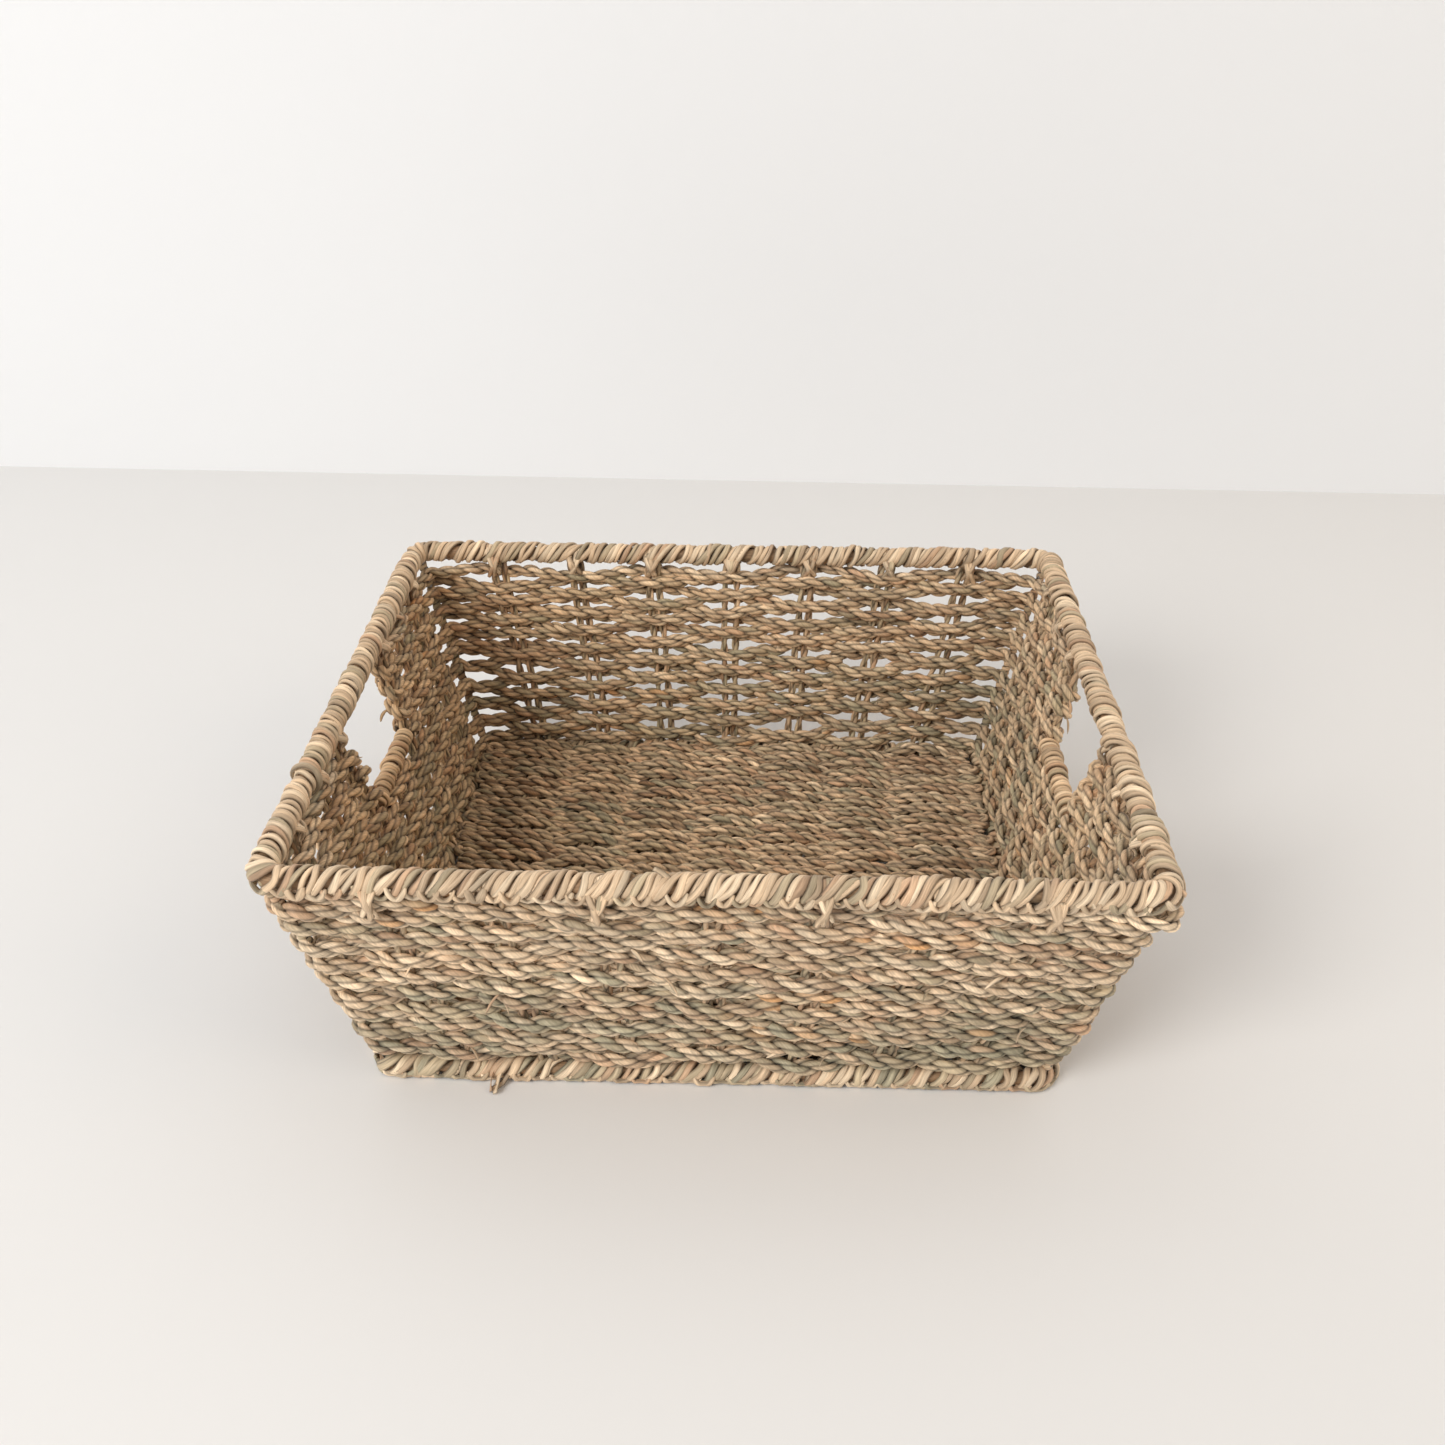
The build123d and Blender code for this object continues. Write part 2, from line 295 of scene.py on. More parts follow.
def blade(rng, centre, up, tones, width=BLADE_WIDTH, thickness=BLADE_THICKNESS, taper=0.5):
    """One flat leaf blade along a line, its face turned to up."""
    along = distance_along(centre)
    scale = end_taper(along, 3 * MM, taper) * (1 + drift(rng, along, 6 * MM, 0.1))
    half_width = width / 2 * rng.normal(1, 0.1)
    half_thickness = thickness / 2 * rng.normal(1, 0.1)
    section = np.empty((len(centre), 6, 2))
    section[..., 0] = scale[:, None] * half_thickness * np.sin(BLADE_ANGLES)
    section[..., 1] = scale[:, None] * half_width * np.cos(BLADE_ANGLES)
    colour = blade_colours(rng, along, 1, tones, 60 * MM)
    # Painted shade along both long edges of the blade, where it meets its neighbours.
    edge = 1 - 0.6 * np.abs(np.cos(BLADE_ANGLES)) ** 3
    return strand(centre, up, section, colour * edge[:, None], rng.uniform(0, 400, 3))


def wisp(rng, root, heading, length, tones, width=1.2 * MM, droop=0.3, taper=0.25):
    """A thin loose end that leaves the weave and curls."""
    count = 9
    share = np.linspace(0, 1, count)[:, None]
    heading = unit(np.array(heading, float))
    curl = square_to(rng.normal(0, 1, 3), heading)
    sag = np.array((0, 0, -1.0)) * droop
    centre = np.array(root) + length * (share * heading + share**2 * (0.45 * curl + sag))
    centre[:, 2] = np.maximum(centre[:, 2], FOOT_CLEARANCE)
    up = np.broadcast_to(curl, centre.shape)
    return blade(rng, centre, up, tones, width, 0.6 * MM, taper)


# ------------------------------------------------------------------------------ meshes


def make_piece(name, strands, material, nodes):
    """One mesh of many strands, in place of CAD nodes."""
    points, tints_and_shades, fibres, corners, totals = [], [], [], [], []
    first = 0
    for item in strands:
        rows, columns = item["points"].shape[:2]
        index = first + np.arange(rows * columns).reshape(rows, columns)
        beside = np.roll(index, -1, axis=1)
        quads = np.stack((index[:-1], beside[:-1], beside[1:], index[1:]), axis=-1)
        corners += [quads.reshape(-1), index[0, ::-1], index[-1]]
        totals += [np.full((rows - 1) * columns, 4), [columns], [columns]]
        points.append(item["points"].reshape(-1, 3))
        tints_and_shades.append(item["tint_and_shade"].reshape(-1, 3))
        fibres.append(item["fibre"].reshape(-1, 3))
        first += rows * columns
    points = np.concatenate(points)
    corners = np.concatenate(corners).astype(np.int32)
    totals = np.concatenate(totals).astype(np.int32)
    mesh = bpy.data.meshes.new(name)
    mesh.vertices.add(len(points))
    mesh.vertices.foreach_set("co", points.reshape(-1).astype(np.float32))
    mesh.loops.add(len(corners))
    mesh.loops.foreach_set("vertex_index", corners)
    mesh.polygons.add(len(totals))
    starts = np.concatenate(([0], np.cumsum(totals)[:-1])).astype(np.int32)
    mesh.polygons.foreach_set("loop_start", starts)
    mesh.polygons.foreach_set("use_smooth", np.ones(len(totals), bool))
    # The tint holds each blade's colour with painted shade multiplied in.
    tint_and_shade = mesh.attributes.new("tint_and_shade", "FLOAT_COLOR", "POINT")
    rgba = np.concatenate((np.concatenate(tints_and_shades), np.ones((len(points), 1))), axis=1)
    tint_and_shade.data.foreach_set("color", rgba.reshape(-1).astype(np.float32))
    fibre = mesh.attributes.new("fibre", "FLOAT_VECTOR", "POINT")
    fibre.data.foreach_set("vector", np.concatenate(fibres).reshape(-1).astype(np.float32))
    mesh.update()
    mesh.validate()
    mesh.materials.append(material)
    piece = bpy.data.objects.new(name, mesh)
    bpy.context.scene.collection.objects.link(piece)
    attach(piece, "root")
    if nodes:
        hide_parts(*nodes)


# --------------------------------------------------------------------------- materials


def new_material(name):
    material = bpy.data.materials.new(name)
    material.use_nodes = True
    nodes = material.node_tree.nodes
    return material, nodes, material.node_tree.links, nodes["Principled BSDF"]


def seagrass(name, roughness, streaks, relief):
    """Dried leaf: tinted by blade, with the painted shade that the tint carries, fine fibres along it,
    dark flecks and a soft sheen.
    """
    material, nodes, links, shader = new_material(name)
    tint_and_shade = nodes.new("ShaderNodeAttribute")
    tint_and_shade.attribute_name = "tint_and_shade"
    fibre = nodes.new("ShaderNodeAttribute")
    fibre.attribute_name = "fibre"

    def noise(scale, detail):
        node = nodes.new("ShaderNodeTexNoise")
        node.inputs["Scale"].default_value = scale
        node.inputs["Detail"].default_value = detail
        links.new(fibre.outputs["Vector"], node.inputs["Vector"])
        return node.outputs["Fac"]

    def ramp(source, low, high, dark, light):
        node = nodes.new("ShaderNodeMapRange")
        node.inputs["From Min"].default_value = low
        node.inputs["From Max"].default_value = high
        node.inputs["To Min"].default_value = dark
        node.inputs["To Max"].default_value = light
        links.new(source, node.inputs["Value"])
        return node.outputs["Result"]

    def times(one, other):
        node = nodes.new("ShaderNodeMath")
        node.operation = "MULTIPLY"
        links.new(one, node.inputs[0])
        links.new(other, node.inputs[1])
        return node.outputs["Value"]

    fine = noise(1.0, 3)
    broad = noise(0.33, 2)
    flecks = noise(0.7, 1)
    shade = times(ramp(fine, 0.3, 0.7, 1 - streaks, 1 + streaks * 0.6), ramp(broad, 0.3, 0.7, 0.82, 1.14))
    shade = times(shade, ramp(flecks, 0.22, 0.32, 0.55, 1.0))
    colour = nodes.new("ShaderNodeVectorMath")
    colour.operation = "SCALE"
    links.new(tint_and_shade.outputs["Color"], colour.inputs[0])
    links.new(shade, colour.inputs["Scale"])
    links.new(colour.outputs["Vector"], shader.inputs["Base Color"])
    links.new(ramp(broad, 0.3, 0.7, roughness + 0.1, roughness - 0.08), shader.inputs["Roughness"])
    bump = nodes.new("ShaderNodeBump")
    bump.inputs["Strength"].default_value = relief
    bump.inputs["Distance"].default_value = 0.35 * MM
    links.new(fine, bump.inputs["Height"])
    links.new(bump.outputs["Normal"], shader.inputs["Normal"])
    shader.inputs["Specular IOR Level"].default_value = 0.35
    shader.inputs["Sheen Weight"].default_value = 0.08
    shader.inputs["Sheen Roughness"].default_value = 0.5
    return material


def dull_steel():
    """Drawn wire, greyed and lightly rusted."""
    material, nodes, links, shader = new_material("dull_steel")
    place = nodes.new("ShaderNodeTexCoord")
    noise = nodes.new("ShaderNodeTexNoise")
    noise.inputs["Scale"].default_value = 380
    noise.inputs["Detail"].default_value = 4
    links.new(place.outputs["Object"], noise.inputs["Vector"])
    ramp = nodes.new("ShaderNodeValToRGB")
    ramp.color_ramp.elements[0].position = 0.42
    ramp.color_ramp.elements[0].color = (0.10, 0.075, 0.055, 1)
    ramp.color_ramp.elements[1].position = 0.6
    ramp.color_ramp.elements[1].color = (0.30, 0.28, 0.25, 1)
    links.new(noise.outputs["Fac"], ramp.inputs["Fac"])
    links.new(ramp.outputs["Color"], shader.inputs["Base Color"])
    bump = nodes.new("ShaderNodeBump")
    bump.inputs["Strength"].default_value = 0.3
    bump.inputs["Distance"].default_value = 0.1 * MM
    links.new(noise.outputs["Fac"], bump.inputs["Height"])
    links.new(bump.outputs["Normal"], shader.inputs["Normal"])
    shader.inputs["Metallic"].default_value = 0.9
    shader.inputs["Roughness"].default_value = 0.48
    return material


def plain(name, colour, roughness):
    """A matt painted surface with a very faint mottle."""
    material, nodes, links, shader = new_material(name)
    place = nodes.new("ShaderNodeTexCoord")
    noise = nodes.new("ShaderNodeTexNoise")
    noise.inputs["Scale"].default_value = 3
    links.new(place.outputs["Object"], noise.inputs["Vector"])
    ramp = nodes.new("ShaderNodeValToRGB")
    ramp.color_ramp.elements[0].color = (*(0.985 * value for value in colour), 1)
    ramp.color_ramp.elements[1].color = (*colour, 1)
    links.new(noise.outputs["Fac"], ramp.inputs["Fac"])
    links.new(ramp.outputs["Color"], shader.inputs["Base Color"])
    shader.inputs["Roughness"].default_value = roughness
    shader.inputs["Specular IOR Level"].default_value = 0.3
    return material


# ------------------------------------------------------------- the surfaces to weave on


def wall_x(z):
    foot = BASE_X - WALL_INSET
    return foot + (TOP_X - foot) * (z - BASE_Z) / (TOP_Z - BASE_Z)


def wall_y(z):
    foot = BASE_Y - WALL_INSET
    return foot + (TOP_Y - foot) * (z - BASE_Z) / (TOP_Z - BASE_Z)


def stake_share(index):
    """Place of a stake along its wall, from -1 at one corner to +1 at the other."""
    return 2 * (index + 1) / (STAKES + 1) - 1


class Ring:
    """A rounded rectangle, measured from the middle of the left wall towards the front."""

    def __init__(self, half_length, half_width):
        self.half_length = half_length
        self.half_width = half_width
        rows = [(-half_length, 0, -1, 0)]
        for x_side, y_side, start in ((-1, -1, 180), (1, -1, 270), (1, 1, 0), (-1, 1, 90)):
            for turned in range(0, 91, 10):
                angle = math.radians(start + turned)
                out_x, out_y = math.cos(angle), math.sin(angle)
                x = x_side * (half_length - CORNER_RADIUS) + CORNER_RADIUS * out_x
                y = y_side * (half_width - CORNER_RADIUS) + CORNER_RADIUS * out_y
                rows.append((x, y, out_x, out_y))
        rows.append(rows[0])
        self.rows = np.array(rows)
        self.along = distance_along(self.rows[:, :2])
        self.length = self.along[-1]

    def at(self, along):
        """Points and outward directions, both flat, at distances along the ring."""
        values = [np.interp(along % self.length, self.along, column) for column in self.rows.T]
        zero = np.zeros(len(along))
        out = unit(np.stack((values[2], values[3], zero), axis=1))
        return np.stack((values[0], values[1], zero), axis=1), out

    def wall_start(self, wall):
        """Where a wall begins along the ring, had its corner been sharp. Walls go left,
        front, right, back, and the left wall begins before zero."""
        bend = CORNER_RADIUS * (math.pi / 2 - 2)
        sides = (2 * self.half_width, 2 * self.half_length, 2 * self.half_width)
        return -self.half_width + sum(sides[:wall]) + bend * wall

    def wall_length(self, wall):
        return 2 * (self.half_length if wall % 2 else self.half_width)


HOLE_LEAN = 5.5 * MM


def hole_lean(z):
    """How far the stakes beside a hand hole lean away from it above the bar."""
    return HOLE_LEAN * np.clip((z - BAR_Z) / (TOP_Z - BAR_Z), 0, 1)


# ------------------------------------------------------------------------- wall courses

TURN_SHIFT = 1.5 * MM
TURN_TAIL = 7 * MM
END_OVERLAP = 7 * MM
CUT_PAST_STAKE = 3.5 * MM
ROW_JITTER = 1.0 * MM
ROW_WANDER = 0.5 * MM
LOOSE_LOOP = 10.5 * MM
LOOSE_LOOP_REACH = 13 * MM


def stations_of(ring, first_side):
    """Distance along the ring and side of the stakes, for each place a course passes."""
    places, sides = [], []
    for wall in range(4):
        start, length = ring.wall_start(wall), ring.wall_length(wall)
        places.append(start + CORNER_RADIUS)
        sides.append(first_side)
        for index in range(STAKES):
            places.append(start + length * (index + 1) / (STAKES + 1))
            sides.append(first_side if index % 2 else -first_side)
        places.append(start + length - CORNER_RADIUS)
        sides.append(first_side)
    return np.array(places), np.array(sides, float)


def weave_line(rng, ring, z, first_side, start, end):
    """Places along the ring, offsets and heights of a course between two distances."""
    places, sides = stations_of(ring, first_side)
    knots = np.concatenate((places - ring.length, places, places + ring.length))
    heights = np.tile(rng.normal(0, ROW_JITTER, len(places)), 3)
    offsets = np.tile(sides * WEAVE_OFFSET * rng.normal(1, 0.07, len(places)), 3)
    along = np.arange(start, end, WALL_ROPE.step)
    after = np.clip(np.searchsorted(knots, along), 1, len(knots) - 1)
    share = (along - knots[after - 1]) / np.maximum(knots[after] - knots[after - 1], 1e-6)
    share = (1 - np.cos(np.pi * np.clip(share, 0, 1))) / 2
    offset = offsets[after - 1] * (1 - share) + offsets[after] * share
    height = z + heights[after - 1] * (1 - share) + heights[after] * share
    height += drift(rng, along, 17 * MM, ROW_WANDER)
    return along, offset, height


def on_ring(ring, along, offset, height):
    points, out = ring.at(along)
    points = points + out * offset[:, None]
    points[:, 2] = height
    return points, out


def turn_back(along, offset, height, way):
    """Carry the last end of a rope round its stake and back on the other side, as the
    start of the next course. The turn rises by one course."""
    side = math.copysign(1, offset[-1])
    angle = np.linspace(0, np.pi, 13)[1:]
    centre = along[-1] + way * TURN_SHIFT
    tail = np.linspace(0, TURN_TAIL, 6)[1:]
    turned = centre + way * WEAVE_OFFSET * np.sin(angle)
    along = np.concatenate((along, turned, centre - way * tail))
    back = side * WEAVE_OFFSET * np.cos(angle)
    offset = np.concatenate((offset, back, np.full(len(tail), back[-1]) * 0.85))
    turn_rise = COURSE_PITCH * (1 - np.cos(angle)) / 2
    rise = np.concatenate((turn_rise, np.full(len(tail), COURSE_PITCH)))
    return along, offset, np.concatenate((height, height[-1] + rise))


def straight_end(along, offset, height, way):
    """Carry the last end of a rope a little past its stake, where it is cut."""
    past = np.linspace(0, CUT_PAST_STAKE, 4)[1:]
    end = np.ones(len(past))
    return (
        np.concatenate((along, along[-1] + way * past)),
        np.concatenate((offset, offset[-1] * end)),
        np.concatenate((height, height[-1] * end)),
    )


def course_tones(index):
    return HIGH_TONES if index > COURSES // 2 else LOW_TONES


def course_place(name):
    """The height of a course and the ring it follows."""
    low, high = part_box(name)
    z = (low.z + high.z) / 2
    return z, Ring(wall_x(z), wall_y(z))


def whole_course(index, material):
    """A course that runs all the way round, its two cut ends overlapping at the back."""
    name = f"wall_course_{index + 1:02d}"
    rng = np.random.default_rng(100 + index)
    z, ring = course_place(name)
    start = ring.wall_start(3) + ring.wall_length(3) * (0.2 + 0.1 * (index % 4))
    end = start + ring.length + END_OVERLAP
    along, offset, height = weave_line(rng, ring, z, 1 if index % 2 else -1, start, end)
    ends = np.linspace(-1, 1, len(along))
    height += 1.0 * MM * np.sign(ends) * np.abs(ends) ** 8
    points, out = on_ring(ring, along, offset, height)
    strands = rope(rng, points, out, course_tones(index), WALL_ROPE)
    make_piece(f"seagrass_{name}", strands, material, [name])


def part_course(index, material):
    """A course that the hand holes interrupt. Every other end turns back round its stake."""
    name = f"wall_course_{index + 1:02d}"
    rng = np.random.default_rng(200 + index)
    z, ring = course_place(name)
    stake_step = ring.wall_length(0) / (STAKES + 1)
    lean = float(hole_lean(z))
    half_way = ring.length / 2
    strands = []
    for half_start in (stake_step, half_way + stake_step):
        start = half_start + lean
        end = half_start + half_way - 2 * stake_step - lean
        line = weave_line(rng, ring, z, 1 if index % 2 else -1, start, end)
        first, last = (straight_end, turn_back) if index % 2 else (turn_back, straight_end)
        if index in (WHOLE_COURSES, COURSES - 1):
            first, last = straight_end, straight_end
        line = last(*line, 1)
        line = first(*(values[::-1] for values in line), -1)
        along, offset, height = (values[::-1] for values in line)
        if index == COURSES - 1 and half_start == stake_step:
            corner = ring.wall_start(2) + CORNER_RADIUS / 2
            slack = np.exp(-(((along - corner) / LOOSE_LOOP_REACH) ** 2))
            offset = offset + LOOSE_LOOP * slack
            height = height - LOOSE_LOOP / 4 * slack
        points, out = on_ring(ring, along, offset, height)
        strands += rope(rng, points, out, course_tones(index), WALL_ROPE)
    make_piece(f"seagrass_{name}", strands, material, [name])


# -------------------------------------------------------------------------------- floor


def floor_strand(index, material):
    """A few floor rows of one rope, woven to and fro over and under the warps."""
    name = f"floor_strand_{index + 1:02d}"
    rng = np.random.default_rng(300 + index)
    first_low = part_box("floor_strand_01")[0]
    last_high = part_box(f"floor_strand_{FLOOR_STRANDS:02d}")[1]
    last_y = (last_high.y - first_low.y) / 2 - FLOOR_ROPE_RADIUS
    pitch = 2 * last_y / (FLOOR_ROWS - 1)
    end_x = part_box("floor_strand_01")[1].x - FLOOR_ROPE_RADIUS / 2
    warp_x = [stake_share(warp) * wall_x(FLOOR_Z) for warp in range(STAKES)]
    knots_x = np.array([-end_x, *warp_x, end_x])
    first_row = index * ROWS_PER_STRAND
    path = []
    for row in range(first_row, min(first_row + ROWS_PER_STRAND, FLOOR_ROWS)):
        way = 1 if row % 2 == 0 else -1
        y = -last_y + row * pitch
        places = np.arange(-end_x, end_x, 2 * MM)
        sides = [0, *(-1 if (warp + row) % 2 else 1 for warp in range(STAKES)), 0]
        if way < 0:
            sides = sides[::-1]
        heights = np.array(sides) * FLOOR_WEAVE_OFFSET * rng.normal(1, 0.08, len(sides))
        after = np.clip(np.searchsorted(knots_x, places), 1, len(knots_x) - 1)
        share = (places - knots_x[after - 1]) / (knots_x[after] - knots_x[after - 1])
        share = (1 - np.cos(np.pi * np.clip(share, 0, 1))) / 2
        lift = heights[after - 1] * (1 - share) + heights[after] * share
        sway = drift(rng, places, 22 * MM, 0.7 * MM)
        line = np.stack((places, y + sway, FLOOR_Z + 0.3 * MM + lift), axis=1)[::way]
        path.append(line)
        if row < min(first_row + ROWS_PER_STRAND, FLOOR_ROWS) - 1:
            angle = np.linspace(-np.pi / 2, np.pi / 2, 7)[1:-1]
            bend_x = way * (end_x + pitch / 2 * np.cos(angle))
            bend_y = y + pitch / 2 * (1 + np.sin(angle))
            bend_z = np.full(len(angle), FLOOR_Z + 0.3 * MM)
            path.append(np.stack((bend_x, bend_y, bend_z), axis=1))
    path = np.concatenate(path)
    up = np.broadcast_to((0.0, 0.0, 1.0), path.shape)
    strands = rope(rng, path, up, FLOOR_TONES, FLOOR_ROPE)
    make_piece(f"seagrass_{name}", strands, material, [name])


# --------------------------------------------------------------------- stakes and warps


def cord(rng, path, outward):
    return rope(rng, path, outward, CORD_TONES, CORD)


def tie(rng, centre, out, travel, outside, reach):
    """Blades folded over the rim above a stake, with their ends down one side of it."""
    blades = []
    way = 1 if outside else -1
    over = np.radians(np.linspace(190, 0, 11))
    drop = np.linspace(0, 1, 8)[1:]
    share = np.concatenate((np.zeros(11), drop))
    for place in (-3.0, -1.0, 1.0, 3.0):
        radius = TOP_WRAP_RADIUS - 1.4 * MM
        bulge = 2.6 * MM * np.sin(np.pi * np.minimum(share * 1.3, 1)) + 2.0 * MM * np.sqrt(share)
        flat = way * (np.concatenate((radius * np.cos(over), np.full(7, radius))) + bulge)
        high = np.concatenate((radius * np.sin(over), -drop * reach * rng.normal(1, 0.12)))
        crossing = place * (1 - rng.uniform(1.6, 2.3) * share) + rng.normal(0, 0.5)
        points = centre + flat[:, None] * out + (crossing * MM)[:, None] * travel
        points[:, 2] += high
        normal = flat[:, None] * out
        normal[:, 2] += np.where(share == 0, high, 0)
        blades.append(blade(rng, points, unit(normal), RIM_TONES, 2.8 * MM, 1.7 * MM, 0.6))
    return blades


def warp(index, material):
    """Two cords from rim to rim under the floor, tied over the rim at both ends."""
    name = f"warp_{index + 1}"
    rng = np.random.default_rng(400 + index)
    share = stake_share(index)
    strands = []
    top = TOP_Z - WIRE_RADIUS
    rise = np.linspace(0, 1, 12)[:, None]
    for side in (-0.5, 0.5):
        shift = side * CORD_SPACING
        corners = [
            np.array((share * wall_x(top) + shift, -wall_y(top), top)),
            np.array((share * wall_x(FLOOR_Z) + shift, -wall_y(FLOOR_Z), FLOOR_Z)),
            np.array((share * wall_x(FLOOR_Z) + shift, wall_y(FLOOR_Z), FLOOR_Z)),
            np.array((share * wall_x(top) + shift, wall_y(top), top)),
        ]
        runs = [start + (end - start) * rise for start, end in zip(corners, corners[1:])]
        path = np.concatenate((runs[0], runs[1][1:], runs[2][1:]))
        path, = resample(path, 4 * MM)
        sway = drift(rng, distance_along(path), 22 * MM, 0.35 * MM)
        path[:, 0] += sway
        up = np.broadcast_to((0.0, 0.0, 1.0), path.shape) + np.sign(path) * (0, 1.0, 0)
        strands += cord(rng, path, up)
    for y_side in (-1, 1):
        centre = np.array((share * TOP_X, y_side * TOP_Y, TOP_Z))
        out = np.array((0, y_side, 0.0))
        travel = np.array((1.0, 0, 0))
        strands += tie(rng, centre, out, travel, False, 10 * MM)
        if index % 2 == 0:
            strands += tie(rng, centre, out, travel, True, 12 * MM)
    make_piece(f"seagrass_{name}", strands, material, [name])


def side_stake(side_name, x_side, index, material):
    """Two cords in a short wall; those beside the hand hole lean away from it."""
    name = f"{side_name}_stake_{index + 1}"
    rng = np.random.default_rng(500 + index + (20 if x_side > 0 else 0))
    share = stake_share(index)
    low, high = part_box(name)
    z = np.linspace(low.z, high.z, 24)
    lean = hole_lean(z) * (np.sign(share) if abs(index - STAKES // 2) == 1 else 0)
    strands = []
    for side in (-0.5, 0.5):
        y = share * wall_y(z) + side * CORD_SPACING + lean + drift(rng, z, 20 * MM, 0.3 * MM)
        path = np.stack((x_side * wall_x(z), y, z), axis=1)
        out = np.broadcast_to((float(x_side), 0.0, 0.0), path.shape)
        strands += cord(rng, path, out)
    if index != STAKES // 2:
        centre = np.array((x_side * TOP_X, share * TOP_Y + lean[-1], TOP_Z))
        out = np.array((float(x_side), 0, 0))
        travel = np.array((0, 1.0, 0))
        strands += tie(rng, centre, out, travel, False, 8 * MM)
    make_piece(f"seagrass_{name}", strands, material, [name])


# ----------------------------------------------------------------------------- windings


def core(rng, points, out, radius):
    """The bundle of blades that a winding covers."""
    along = distance_along(points)
    corners = 10
    angle = 2 * np.pi * np.arange(corners) / corners
    reach = radius * (1 + drift(rng, along, 12 * MM, 0.05, corners))
    section = np.stack((reach * np.cos(angle), reach * np.sin(angle)), axis=-1)
    # The core's dark colour is painted shade in the gaps between the wraps over it.
    colour = blade_colours(rng, along, 5, CORE_SHADE_TONES)
    return strand(points, out, section, np.repeat(colour, 2, axis=1), rng.uniform(0, 400, 3))


def wraps(rng, place_of, start, end, pitch, radius, lean_of, tones, floor=None):
    """Pairs of blades wound round a line, one pair every pitch."""
    strands = []
    count = int(round((end - start) / pitch))
    step = (end - start) / count
    angle = np.linspace(-1.75, 2 * np.pi - 1.75, WRAP_STEPS)
    for turn in range(count):
        middle = start + (turn + 0.5) * step + rng.normal(0, 0.07) * step
        lean = lean_of(middle) * rng.normal(1, 0.18)
        fatness = rng.normal(0, 0.25 * MM)
        for number in (-1, 1):
            gather = 0.75 + 0.25 * np.sin(angle)
            spot = middle + number * step * 0.21 * gather + rng.normal(0, 0.25 * MM)
            own_lean = lean * rng.normal(1, 0.2)
            along = spot + own_lean * (angle - angle.mean()) / (2 * np.pi)
            along += step * rng.normal(0.04, 0.08) * np.sin(2 * angle + rng.normal(0, 0.6))
            bulge = fatness + rng.normal(0.1, 0.35) * MM
            tuck = 1.1 * MM * (np.abs(angle - angle.mean()) / np.pi) ** 6
            reach = radius - 0.35 * MM + bulge - tuck
            centre, out = place_of(along)
            up = np.array((0, 0, 1.0))
            radial = np.cos(angle)[:, None] * out + np.sin(angle)[:, None] * up
            points = centre + radial * reach[:, None]
            if floor is not None:
                points[:, 2] = np.maximum(points[:, 2], floor + FOOT_CLEARANCE)
            strands.append(blade(rng, points, radial, tones, BLADE_WIDTH * step / WRAP_PITCH))
    return strands


def hooks(rng, place_of, start, end, pitch, radius, tones, floor=None):
    """Loops along the lower outer edge that lock each wrap under the next."""
    strands = []
    count = int(round((end - start) / pitch))
    share = np.linspace(0, 1, 11)
    for turn in range(count):
        first = start + turn * pitch + rng.normal(0, 0.5 * MM)
        along = first + share * pitch * rng.normal(1.25, 0.1)
        angle = np.radians(2 - 52 * np.sin(np.pi * share) ** 0.8 + rng.normal(0, 7))
        reach = radius + 1.6 * MM * np.sin(np.pi * share) - 0.3 * MM + rng.normal(0, 0.3 * MM)
        centre, out = place_of(along)
        radial = np.cos(angle)[:, None] * out + np.sin(angle)[:, None] * np.array((0, 0, 1.0))
        points = centre + radial * reach[:, None]
        if floor is not None:
            points[:, 2] = np.maximum(points[:, 2], floor + FOOT_CLEARANCE)
        strands.append(blade(rng, points, radial, tones, 2.7 * MM, 1.9 * MM))
    return strands


def rim_winding(name, place, radius, pitch, tones, material, floor=None):
    """The winding of the rim or the foot: core, wraps and locking hooks."""
    half_length, half_width, z = place
    ring = Ring(half_length, half_width)
    rng = np.random.default_rng(600 + len(name))

    def place_of(along):
        points, out = ring.at(along)
        points[:, 2] = z
        return points, out

    def lean_of(along):
        _, out = ring.at(np.array((along,)))
        return SIDE_LEAN + LONG_WALL_LEAN * abs(out[0, 1])

    line, out = place_of(np.linspace(0, ring.length, 260))
    strands = [core(rng, line, out, radius - 1.5 * MM)]
    strands += wraps(rng, place_of, 0, ring.length, pitch, radius, lean_of, tones, floor)
    strands += hooks(rng, place_of, 0, ring.length, pitch, radius, tones, floor)
    make_piece(f"seagrass_{name}", strands, material, [name])


def handle_winding(side_name, x_side, material):
    """The wound bar below a hand hole."""
    name = f"{side_name}_handle_wrap"
    rng = np.random.default_rng(700 + (x_side > 0))
    low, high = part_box(name)
    x = (low.x + high.x) / 2
    radius = BAR_WINDING_RADIUS

    def place_of(along):
        zero = np.zeros(len(along))
        points = np.stack((zero + x, along, zero + BAR_Z), axis=1)
        return points, np.broadcast_to((float(x_side), 0.0, 0.0), points.shape)

    line, out = place_of(np.linspace(low.y, high.y, 30))
    strands = [core(rng, line, out, radius - 1.0 * MM)]
    strands += wraps(rng, place_of, low.y, high.y, BAR_PITCH, radius, lambda _: BAR_LEAN, RIM_TONES)
    make_piece(f"seagrass_{name}", strands, material, [name])


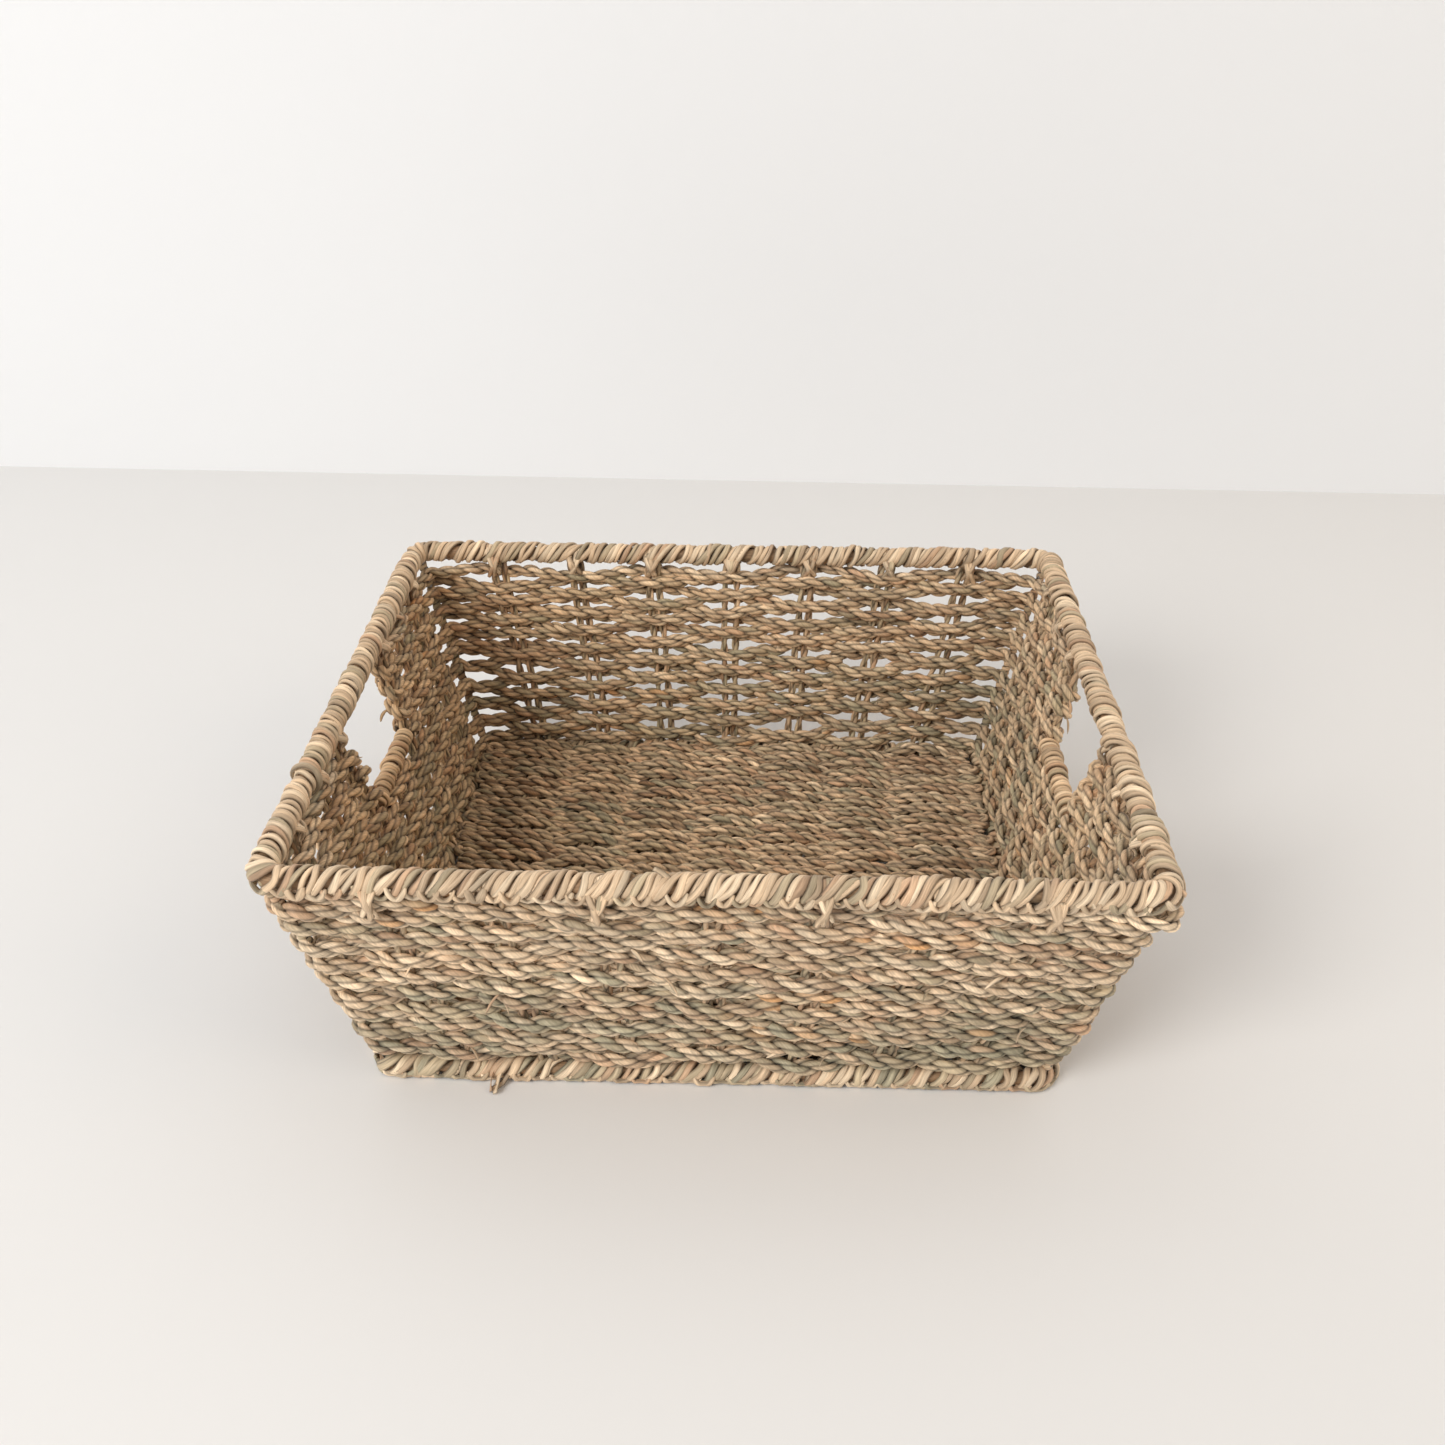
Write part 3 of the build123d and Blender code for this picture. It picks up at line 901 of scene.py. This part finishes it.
def corner_binding(side_name, end_name, material):
    """A thin blade wound round an upright corner wire."""
    name = f"{end_name}_{side_name}_corner_wire"
    rng = np.random.default_rng(800 + len(name))
    low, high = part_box(name)
    middle = (low + high) / 2
    x_side, y_side = math.copysign(1, middle.x), math.copysign(1, middle.y)
    xs, ys = sorted((abs(low.x), abs(high.x))), sorted((abs(low.y), abs(high.y)))
    foot = np.array((xs[0] * x_side, ys[0] * y_side, low.z))
    top = np.array((xs[1] * x_side, ys[1] * y_side, high.z))
    length = np.linalg.norm(top - foot)
    turns = int(length / BINDING_PITCH)
    angle = np.linspace(0, 2 * np.pi * turns, turns * 9)
    share = (angle / angle[-1])[:, None]
    radius = BINDING_RADIUS
    flat = np.stack((np.cos(angle), np.sin(angle), 0 * angle), axis=1)
    points = foot + (top - foot) * share + radius * flat
    binding = blade(rng, points, flat, CORD_TONES, 3.4 * MM, 1.0 * MM)
    make_piece(f"corner_binding_{end_name}_{side_name}", [binding], material, [])


def loose_ends(material):
    """Cut ends and wisps that leave the weave, mostly on the front."""
    rng = np.random.default_rng(900)
    strands = []
    foot = BASE_Y + BASE_WRAP_RADIUS
    for x in CUT_ENDS_X:
        root = (x, -foot + 2 * MM, BASE_Z + 1 * MM)
        heading = (rng.normal(-0.45, 0.15), -0.8, -0.25)
        strands.append(wisp(rng, root, heading, rng.uniform(9, 13) * MM, FOOT_TONES, 2.6 * MM, 0.1, 0.8))
    rim = TOP_Y + TOP_WRAP_RADIUS
    root = (-15 * MM, -rim + 4 * MM, TOP_Z + 4 * MM)
    strands.append(wisp(rng, root, (-0.7, 0.2, 0.8), 9 * MM, RIM_TONES, 2.6 * MM, 0.1, 0.8))
    for _ in range(STUBS):
        z = rng.uniform(BASE_Z + 12 * MM, TOP_Z - 14 * MM)
        wall = rng.choice(4, p=(0.15, 0.5, 0.15, 0.2))
        ring = Ring(wall_x(z) + WEAVE_OFFSET + 2 * MM, wall_y(z) + WEAVE_OFFSET + 2 * MM)
        along = ring.wall_start(wall) + ring.wall_length(wall) * rng.uniform(0.08, 0.92)
        root, out = (values[0] for values in ring.at(np.array((along,))))
        travel = np.cross((0, 0, 1.0), out)
        heading = 0.6 * out + travel * rng.choice((-1, 1)) + (0, 0, rng.normal(0, 0.35))
        length = rng.uniform(3.5, 9) * MM
        strands.append(wisp(rng, root - 1.5 * MM * out + (0, 0, z), heading, length, RIM_TONES, 1.6 * MM))
    for side in (-1, 1):
        for _ in range(HOLE_WISPS):
            root = (side * wall_x(BAR_Z + 22 * MM), rng.choice((-28, 28)) * MM, rng.uniform(80, 104) * MM)
            heading = (side * rng.uniform(0, 0.8), -np.sign(root[1]), rng.normal(0, 0.4))
            strands.append(wisp(rng, root, heading, rng.uniform(4, 8) * MM, HIGH_TONES, 1.7 * MM))
    make_piece("loose_ends", strands, material, [])


# -------------------------------------------------------------------------- build it all

wall_material = seagrass("seagrass_wall_rope", 0.62, 0.30, 0.55)
floor_material = seagrass("seagrass_floor_rope", 0.66, 0.30, 0.55)
wrap_material = seagrass("seagrass_wrap", 0.58, 0.24, 0.5)
cord_material = seagrass("seagrass_cord", 0.66, 0.30, 0.5)
steel = dull_steel()

for node_name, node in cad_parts.items():
    if node_name.endswith("_wire"):
        node.data.materials.clear()
        node.data.materials.append(steel)

for course in range(WHOLE_COURSES):
    whole_course(course, wall_material)
for course in range(WHOLE_COURSES, COURSES):
    part_course(course, wall_material)
for strand_number in range(FLOOR_STRANDS):
    floor_strand(strand_number, floor_material)
for stake in range(STAKES):
    warp(stake, cord_material)
    side_stake("left", -1, stake, cord_material)
    side_stake("right", 1, stake, cord_material)
top_rim = (TOP_X, TOP_Y, TOP_Z)
rim_winding("top_rim_wrap", top_rim, TOP_WRAP_RADIUS, WRAP_PITCH, RIM_TONES, wrap_material)
foot_rim = (BASE_X, BASE_Y, BASE_Z)
rim_winding("base_rim_wrap", foot_rim, BASE_WRAP_RADIUS, FOOT_PITCH, FOOT_TONES, wrap_material, 0)
for side in ("left", "right"):
    for end in ("front", "back"):
        corner_binding(side, end, cord_material)
loose_ends(wrap_material)
handle_winding("left", -1, wrap_material)
handle_winding("right", 1, wrap_material)

# ------------------------------------------------------------- floor, wall, light, camera


def stage_plane(name, size, location, rotation, material):
    bpy.ops.mesh.primitive_plane_add(size=size, location=location, rotation=rotation)
    plane = bpy.context.object
    plane.name = name
    plane.data.materials.append(material)


WALL_Y = 0.52
WALL_TURN = math.radians(-1.2)
STAGE_SIZE = 6
floor_paint = plain("studio_floor", (0.775, 0.765, 0.75), 0.6)
wall_paint = plain("studio_wall", (0.84, 0.845, 0.85), 0.8)
stage_plane("studio_floor", STAGE_SIZE, (0, 0, 0), (0, 0, 0), floor_paint)
stage_plane("studio_wall", STAGE_SIZE, (0, WALL_Y, 0), (math.pi / 2, 0, WALL_TURN), wall_paint)


def area_light(name, location, target, size, power, colour):
    light = bpy.data.lights.new(name, "AREA")
    light.shape = "DISK"
    light.size = size
    light.energy = power
    light.color = colour
    lamp = bpy.data.objects.new(name, light)
    lamp.location = location
    lamp.rotation_euler = (Vector(target) - Vector(location)).to_track_quat("-Z", "Y").to_euler()
    bpy.context.scene.collection.objects.link(lamp)


area_light("key", (-1.45, -1.55, 1.5), (0, 0, 0.05), 1.3, 40, (1.0, 0.975, 0.945))
area_light("fill", (1.7, -0.5, 1.4), (0, 0, 0.05), 1.6, 10, (1.0, 0.79, 0.56))

world = bpy.data.worlds.new("studio")
world.use_nodes = True
world.node_tree.nodes["Background"].inputs["Color"].default_value = (0.95, 0.97, 1.0, 1)
world.node_tree.nodes["Background"].inputs["Strength"].default_value = 0.56
bpy.context.scene.world = world
bpy.context.scene.view_settings.view_transform = "Standard"

CAMERA_DISTANCE = 0.732
CAMERA_ELEVATION = math.radians(32.02)
CAMERA_AZIMUTH = math.radians(-1.70)
camera_target = Vector((-0.002, 0.0615, cad_box[1].z / 2))
back = Vector((
    -math.sin(CAMERA_AZIMUTH) * math.cos(CAMERA_ELEVATION),
    -math.cos(CAMERA_AZIMUTH) * math.cos(CAMERA_ELEVATION),
    math.sin(CAMERA_ELEVATION),
))
camera_data = bpy.data.cameras.new("camera")
camera_data.sensor_width = 36
camera_data.lens = 36.12
camera_data.clip_start = 0.01
camera = bpy.data.objects.new("camera", camera_data)
camera.location = camera_target + back * CAMERA_DISTANCE
camera.rotation_euler = (-back).to_track_quat("-Z", "Y").to_euler()
bpy.context.scene.collection.objects.link(camera)
bpy.context.scene.camera = camera
